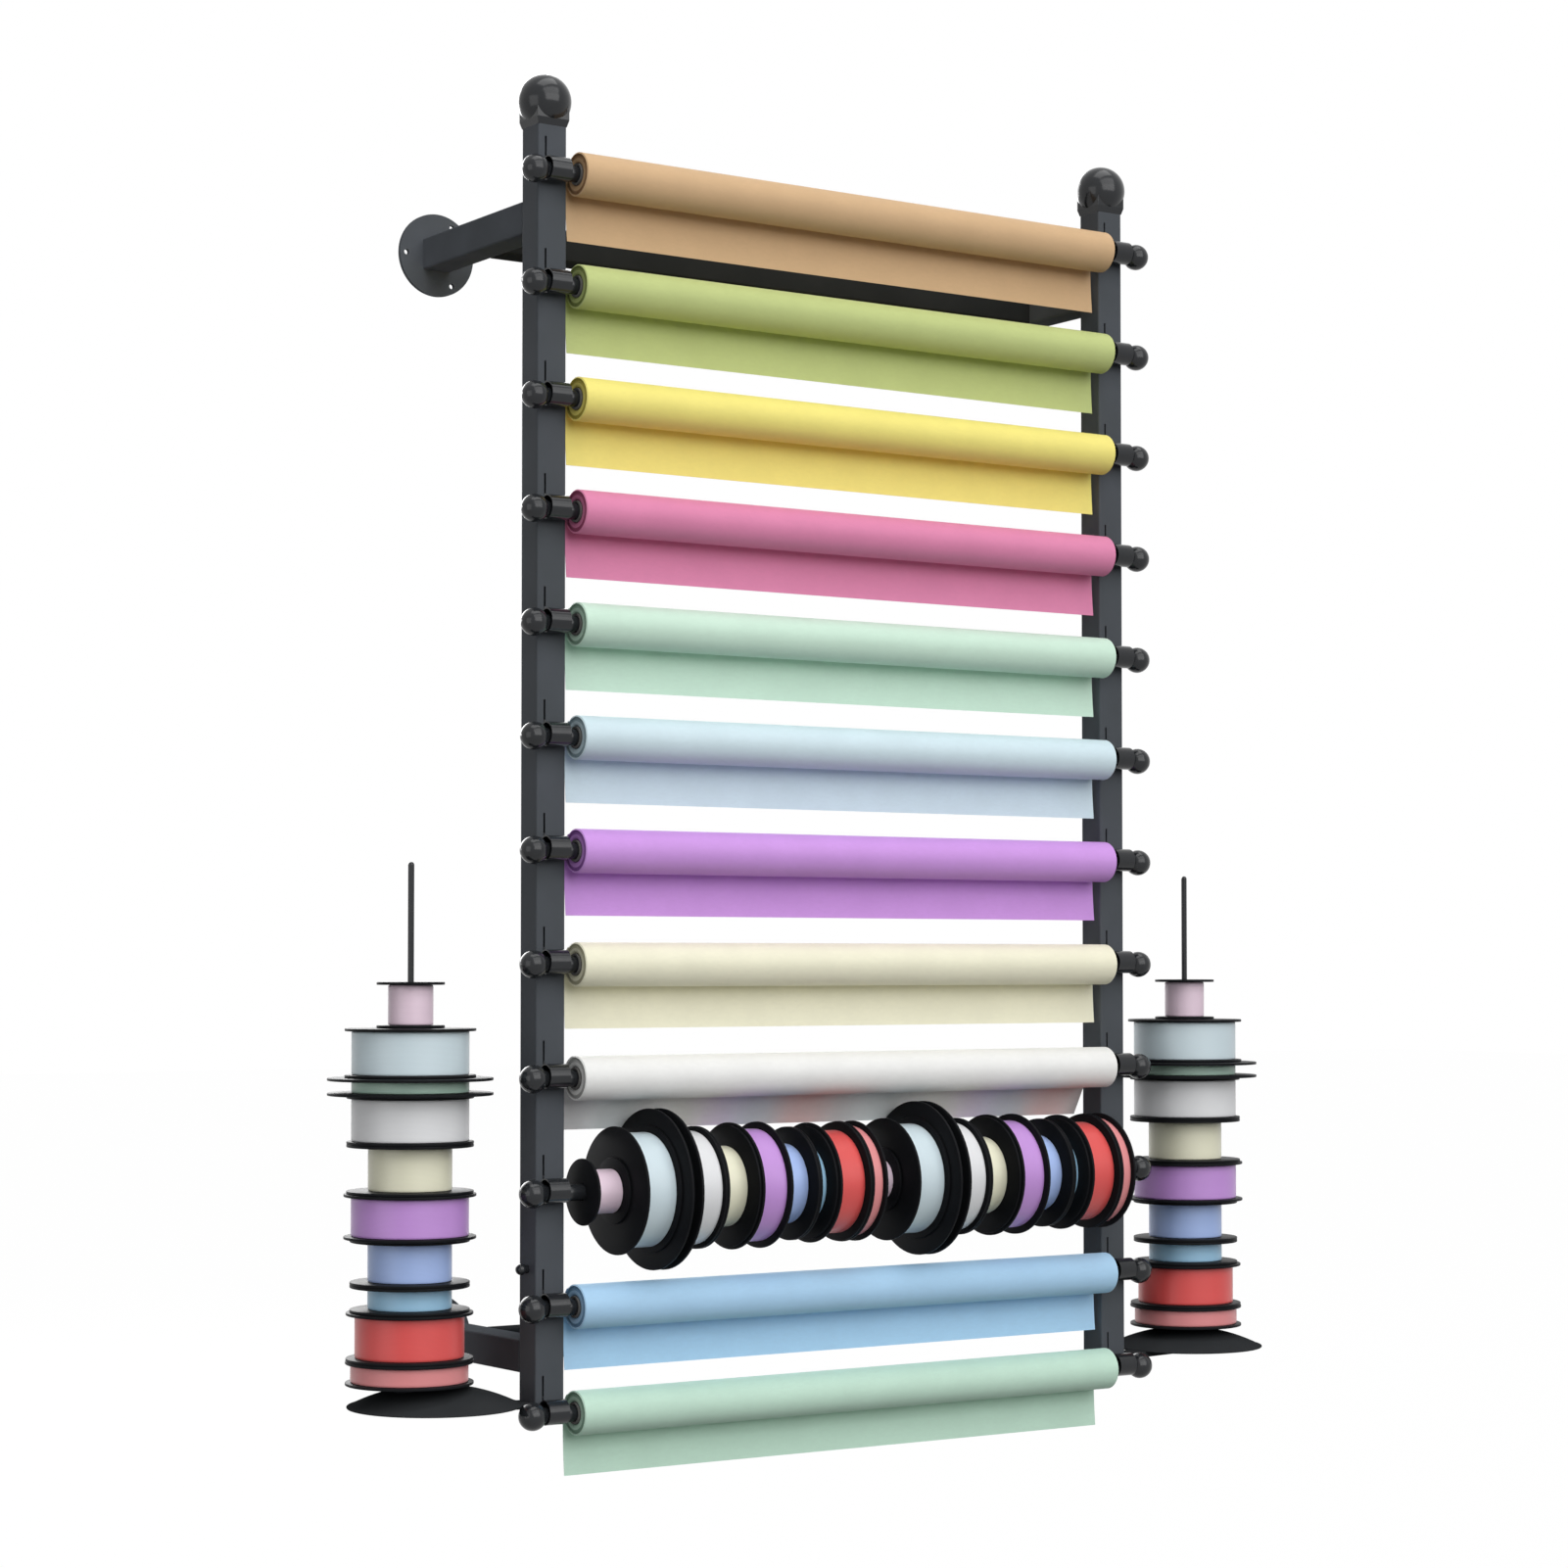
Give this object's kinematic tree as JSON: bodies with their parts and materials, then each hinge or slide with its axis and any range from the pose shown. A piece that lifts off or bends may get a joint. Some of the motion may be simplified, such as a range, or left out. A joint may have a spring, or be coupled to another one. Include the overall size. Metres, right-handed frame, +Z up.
{
  "type": "wall wrapping paper rack",
  "caption": "Wall rack of slotted square posts with turning rods that carry paper rolls and ribbon spools, and a domed ribbon tray with a spindle on each side.",
  "frame": {"origin": "on the wall plane, midway between the posts and midway between the upper and lower wall arms", "axes": "+X along the rods to the right as seen from the front, +Y into the wall, +Z up"},
  "size_m": [1.1285, 0.3323, 1.365],
  "materials": {
    "black_powder_coat": "satin",
    "black_spool_plastic": "satin",
    "satin_ribbon": "satin",
    "kraft_paper": "matt",
    "green_paper": "matt",
    "yellow_paper": "matt",
    "pink_paper": "matt",
    "mint_paper": "matt",
    "pale_blue_paper": "matt",
    "purple_paper": "matt",
    "cream_paper": "matt",
    "white_paper": "matt",
    "sky_blue_paper": "matt"
  },
  "bodies": {
    "frame": {"post_left": "black_powder_coat", "post_right": "black_powder_coat", "finial_left": "black_powder_coat", "finial_right": "black_powder_coat", "post_end_caps": "black_powder_coat", "clamp_screws": "black_powder_coat", "crossbeam_top": "black_powder_coat", "crossbeam_bottom": "black_powder_coat", "wall_arm_top_left": "black_powder_coat", "wall_arm_top_right": "black_powder_coat", "wall_arm_bottom_left": "black_powder_coat", "wall_arm_bottom_right": "black_powder_coat", "sockets_left": "black_powder_coat", "sockets_right": "black_powder_coat", "ribbon_tray_left": "black_powder_coat", "ribbon_tray_right": "black_powder_coat", "spindle_left": "black_powder_coat", "spindle_right": "black_powder_coat", "paper_sheet_01": "kraft_paper", "paper_sheet_02": "green_paper", "paper_sheet_03": "yellow_paper", "paper_sheet_04": "pink_paper", "paper_sheet_05": "mint_paper", "paper_sheet_06": "pale_blue_paper", "paper_sheet_07": "purple_paper", "paper_sheet_08": "cream_paper", "paper_sheet_09": "white_paper", "paper_sheet_11": "sky_blue_paper", "paper_sheet_12": "mint_paper"},
    "bar_01": {"rod_01": "black_powder_coat"},
    "bar_02": {"rod_02": "black_powder_coat"},
    "bar_03": {"rod_03": "black_powder_coat"},
    "bar_04": {"rod_04": "black_powder_coat"},
    "bar_05": {"rod_05": "black_powder_coat"},
    "bar_06": {"rod_06": "black_powder_coat"},
    "bar_07": {"rod_07": "black_powder_coat"},
    "bar_08": {"rod_08": "black_powder_coat"},
    "bar_09": {"rod_09": "black_powder_coat"},
    "bar_10": {"rod_10": "black_powder_coat"},
    "bar_11": {"rod_11": "black_powder_coat"},
    "bar_12": {"rod_12": "black_powder_coat"},
    "roll_01": {"paper_roll_01": "kraft_paper"},
    "roll_02": {"paper_roll_02": "green_paper"},
    "roll_03": {"paper_roll_03": "yellow_paper"},
    "roll_04": {"paper_roll_04": "pink_paper"},
    "roll_05": {"paper_roll_05": "mint_paper"},
    "roll_06": {"paper_roll_06": "pale_blue_paper"},
    "roll_07": {"paper_roll_07": "purple_paper"},
    "roll_08": {"paper_roll_08": "cream_paper"},
    "roll_09": {"paper_roll_09": "white_paper"},
    "roll_11": {"paper_roll_11": "sky_blue_paper"},
    "roll_12": {"paper_roll_12": "mint_paper"},
    "rod_spools_left": {"spools_rod_left": "black_spool_plastic", "ribbons_rod_left": "satin_ribbon"},
    "rod_spools_right": {"spools_rod_right": "black_spool_plastic", "ribbons_rod_right": "satin_ribbon"},
    "tray_spools_left": {"spools_tray_left": "black_spool_plastic", "ribbons_tray_left": "satin_ribbon"},
    "tray_spools_right": {"spools_tray_right": "black_spool_plastic", "ribbons_tray_right": "satin_ribbon"}
  },
  "joints": [
    {"name": "rod_01_spin", "type": "hinge", "parent": "frame", "child": "bar_01", "pos_m": [0, -0.2533, 0.594], "axis": [1, 0, 0], "continuous": true},
    {"name": "rod_02_spin", "type": "hinge", "parent": "frame", "child": "bar_02", "pos_m": [0, -0.2533, 0.484], "axis": [1, 0, 0], "continuous": true},
    {"name": "rod_03_spin", "type": "hinge", "parent": "frame", "child": "bar_03", "pos_m": [0, -0.2533, 0.374], "axis": [1, 0, 0], "continuous": true},
    {"name": "rod_04_spin", "type": "hinge", "parent": "frame", "child": "bar_04", "pos_m": [0, -0.2533, 0.264], "axis": [1, 0, 0], "continuous": true},
    {"name": "rod_05_spin", "type": "hinge", "parent": "frame", "child": "bar_05", "pos_m": [0, -0.2533, 0.154], "axis": [1, 0, 0], "continuous": true},
    {"name": "rod_06_spin", "type": "hinge", "parent": "frame", "child": "bar_06", "pos_m": [0, -0.2533, 0.044], "axis": [1, 0, 0], "continuous": true},
    {"name": "rod_07_spin", "type": "hinge", "parent": "frame", "child": "bar_07", "pos_m": [0, -0.2533, -0.066], "axis": [1, 0, 0], "continuous": true},
    {"name": "rod_08_spin", "type": "hinge", "parent": "frame", "child": "bar_08", "pos_m": [0, -0.2533, -0.176], "axis": [1, 0, 0], "continuous": true},
    {"name": "rod_09_spin", "type": "hinge", "parent": "frame", "child": "bar_09", "pos_m": [0, -0.2533, -0.286], "axis": [1, 0, 0], "continuous": true},
    {"name": "rod_10_spin", "type": "hinge", "parent": "frame", "child": "bar_10", "pos_m": [0, -0.2533, -0.396], "axis": [1, 0, 0], "continuous": true},
    {"name": "rod_11_spin", "type": "hinge", "parent": "frame", "child": "bar_11", "pos_m": [0, -0.2533, -0.506], "axis": [1, 0, 0], "continuous": true},
    {"name": "rod_12_spin", "type": "hinge", "parent": "frame", "child": "bar_12", "pos_m": [0, -0.2533, -0.608], "axis": [1, 0, 0], "continuous": true},
    {"name": "roll_01_spin", "type": "hinge", "parent": "bar_01", "child": "roll_01", "pos_m": [0, -0.2533, 0.594], "axis": [1, 0, 0], "continuous": true},
    {"name": "roll_02_spin", "type": "hinge", "parent": "bar_02", "child": "roll_02", "pos_m": [0, -0.2533, 0.484], "axis": [1, 0, 0], "continuous": true},
    {"name": "roll_03_spin", "type": "hinge", "parent": "bar_03", "child": "roll_03", "pos_m": [0, -0.2533, 0.374], "axis": [1, 0, 0], "continuous": true},
    {"name": "roll_04_spin", "type": "hinge", "parent": "bar_04", "child": "roll_04", "pos_m": [0, -0.2533, 0.264], "axis": [1, 0, 0], "continuous": true},
    {"name": "roll_05_spin", "type": "hinge", "parent": "bar_05", "child": "roll_05", "pos_m": [0, -0.2533, 0.154], "axis": [1, 0, 0], "continuous": true},
    {"name": "roll_06_spin", "type": "hinge", "parent": "bar_06", "child": "roll_06", "pos_m": [0, -0.2533, 0.044], "axis": [1, 0, 0], "continuous": true},
    {"name": "roll_07_spin", "type": "hinge", "parent": "bar_07", "child": "roll_07", "pos_m": [0, -0.2533, -0.066], "axis": [1, 0, 0], "continuous": true},
    {"name": "roll_08_spin", "type": "hinge", "parent": "bar_08", "child": "roll_08", "pos_m": [0, -0.2533, -0.176], "axis": [1, 0, 0], "continuous": true},
    {"name": "roll_09_spin", "type": "hinge", "parent": "bar_09", "child": "roll_09", "pos_m": [0, -0.2533, -0.286], "axis": [1, 0, 0], "continuous": true},
    {"name": "roll_11_spin", "type": "hinge", "parent": "bar_11", "child": "roll_11", "pos_m": [0, -0.2533, -0.506], "axis": [1, 0, 0], "continuous": true},
    {"name": "roll_12_spin", "type": "hinge", "parent": "bar_12", "child": "roll_12", "pos_m": [0, -0.2533, -0.608], "axis": [1, 0, 0], "continuous": true},
    {"name": "rod_spools_left_spin", "type": "hinge", "parent": "bar_10", "child": "rod_spools_left", "pos_m": [0, -0.2533, -0.396], "axis": [1, 0, 0], "continuous": true},
    {"name": "rod_spools_right_spin", "type": "hinge", "parent": "bar_10", "child": "rod_spools_right", "pos_m": [0, -0.2533, -0.396], "axis": [1, 0, 0], "continuous": true},
    {"name": "tray_spools_left_spin", "type": "hinge", "parent": "frame", "child": "tray_spools_left", "pos_m": [-0.483, -0.205, 0], "axis": [0, 0, 1], "continuous": true},
    {"name": "tray_spools_right_spin", "type": "hinge", "parent": "frame", "child": "tray_spools_right", "pos_m": [0.483, -0.205, 0], "axis": [0, 0, 1], "continuous": true}
  ]
}
